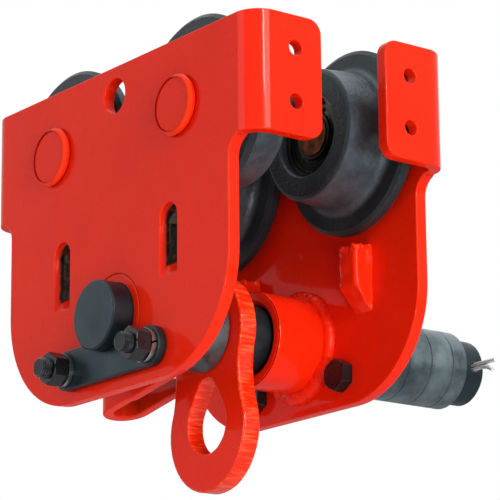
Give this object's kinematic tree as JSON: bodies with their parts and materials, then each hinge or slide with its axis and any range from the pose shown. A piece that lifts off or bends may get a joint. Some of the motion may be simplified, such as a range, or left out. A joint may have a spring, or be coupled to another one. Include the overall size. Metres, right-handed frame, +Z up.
{
  "type": "beam trolley",
  "caption": "Push trolley for a hoist: bent orange side plates, flanged wheels on ball bearings, a load shaft with spacers and a swinging suspension eye.",
  "frame": {"origin": "middle of the beam flange, at the height where the wheel treads touch it, midway between the side plates", "axes": "+X along the beam, +Y across it towards the long end of the load shaft, +Z up"},
  "size_m": [0.275, 0.302, 0.2697],
  "materials": {
    "orange_paint": "gloss enamel over steel, vermilion orange",
    "dark_steel": "blackened satin steel",
    "wheel_iron": "machined and oiled cast iron",
    "bearing_steel": "ground bearing steel",
    "spring_steel": "blued spring steel",
    "zinc_steel": "bright zinc plate"
  },
  "bodies": {
    "frame": {"front_left_axle": "orange_paint", "front_left_axle_snap_ring": "spring_steel", "front_left_bearing_inner_ring": "bearing_steel", "front_nuts": "dark_steel", "front_plate_bolts": "dark_steel", "front_right_axle": "orange_paint", "front_right_axle_snap_ring": "spring_steel", "front_right_bearing_inner_ring": "bearing_steel", "front_shaft_bush": "orange_paint", "front_side_plate": "orange_paint", "front_spring_washers": "zinc_steel", "inner_thick_spacers": "dark_steel", "inner_thin_spacer": "dark_steel", "load_shaft": "dark_steel", "outer_end_spacer": "dark_steel", "outer_thick_spacers": "dark_steel", "outer_thin_spacer": "dark_steel", "rear_left_axle": "orange_paint", "rear_left_axle_snap_ring": "spring_steel", "rear_left_bearing_inner_ring": "bearing_steel", "rear_nuts": "dark_steel", "rear_plate_bolts": "dark_steel", "rear_right_axle": "orange_paint", "rear_right_axle_snap_ring": "spring_steel", "rear_right_bearing_inner_ring": "bearing_steel", "rear_shaft_sleeve": "orange_paint", "rear_side_plate": "orange_paint", "rear_spring_washers": "zinc_steel", "shaft_keeper_plate": "dark_steel", "sleeve_weld_bead": "orange_paint", "split_pin": "zinc_steel"},
    "front_left_wheel_body": {"front_left_wheel": "wheel_iron", "front_left_bearing_outer_ring": "bearing_steel", "front_left_bearing_shield": "bearing_steel", "front_left_bearing_balls": "bearing_steel", "front_left_wheel_snap_ring": "spring_steel"},
    "front_right_wheel_body": {"front_right_wheel": "wheel_iron", "front_right_bearing_outer_ring": "bearing_steel", "front_right_bearing_shield": "bearing_steel", "front_right_bearing_balls": "bearing_steel", "front_right_wheel_snap_ring": "spring_steel"},
    "rear_left_wheel_body": {"rear_left_wheel": "wheel_iron", "rear_left_bearing_outer_ring": "bearing_steel", "rear_left_bearing_shield": "bearing_steel", "rear_left_bearing_balls": "bearing_steel", "rear_left_wheel_snap_ring": "spring_steel"},
    "rear_right_wheel_body": {"rear_right_wheel": "wheel_iron", "rear_right_bearing_outer_ring": "bearing_steel", "rear_right_bearing_shield": "bearing_steel", "rear_right_bearing_balls": "bearing_steel", "rear_right_wheel_snap_ring": "spring_steel"},
    "hanger": {"suspension_eye_plate": "orange_paint", "eye_guard_strap": "orange_paint"}
  },
  "joints": [
    {"name": "front_left_wheel_spin", "type": "hinge", "parent": "frame", "child": "front_left_wheel_body", "pos_m": [-0.065, -0.04, 0.0425], "axis": [0, 1, 0], "continuous": true},
    {"name": "front_right_wheel_spin", "type": "hinge", "parent": "frame", "child": "front_right_wheel_body", "pos_m": [0.065, -0.04, 0.0425], "axis": [0, 1, 0], "continuous": true},
    {"name": "rear_left_wheel_spin", "type": "hinge", "parent": "frame", "child": "rear_left_wheel_body", "pos_m": [-0.065, 0.04, 0.0425], "axis": [0, 1, 0], "continuous": true},
    {"name": "rear_right_wheel_spin", "type": "hinge", "parent": "frame", "child": "rear_right_wheel_body", "pos_m": [0.065, 0.04, 0.0425], "axis": [0, 1, 0], "continuous": true},
    {"name": "eye_swing", "type": "hinge", "parent": "frame", "child": "hanger", "pos_m": [0, 0, -0.072], "axis": [0, 1, 0], "range_deg": [-45, 45]}
  ]
}
